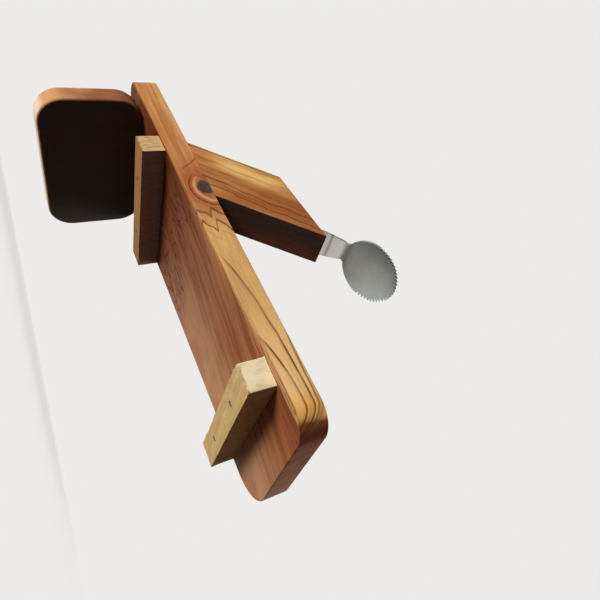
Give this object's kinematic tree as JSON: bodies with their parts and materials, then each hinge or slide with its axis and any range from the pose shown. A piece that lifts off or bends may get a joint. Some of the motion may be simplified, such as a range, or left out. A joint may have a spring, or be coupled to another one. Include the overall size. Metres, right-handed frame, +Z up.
{
  "type": "coconut scraper",
  "caption": "Wooden counter-top scraper: a plank with a stop plate and foot battens hooks over a counter's edge and carries a leaning arm with a toothed, dished steel blade.",
  "frame": {"origin": "where the counter's front edge goes: on the stop plate's front face, half way across the plank, level with the battens' undersides", "axes": "+X forward, from the user to the blade, along the plank; +Y left, across the plank; +Z up, away from the counter"},
  "size_m": [0.4, 0.1593, 0.2321],
  "materials": {
    "board_wood": "oiled, satin",
    "plate_wood": "oiled, satin",
    "arm_wood": "oiled, satin",
    "batten_wood": "rough sawn",
    "dowel_wood": "plain",
    "blade_steel": "satin stainless",
    "nail_steel": "dull",
    "screw_steel": "zinc plated"
  },
  "bodies": {
    "root": {"base_board": "board_wood", "stop_plate": "plate_wood", "stop_plate_screws": "screw_steel", "rear_foot": "batten_wood", "front_foot": "batten_wood", "rear_foot_nails": "nail_steel", "front_foot_nails": "nail_steel", "arm": "arm_wood", "arm_dowels": "dowel_wood", "blade": "blade_steel"}
  },
  "joints": []
}
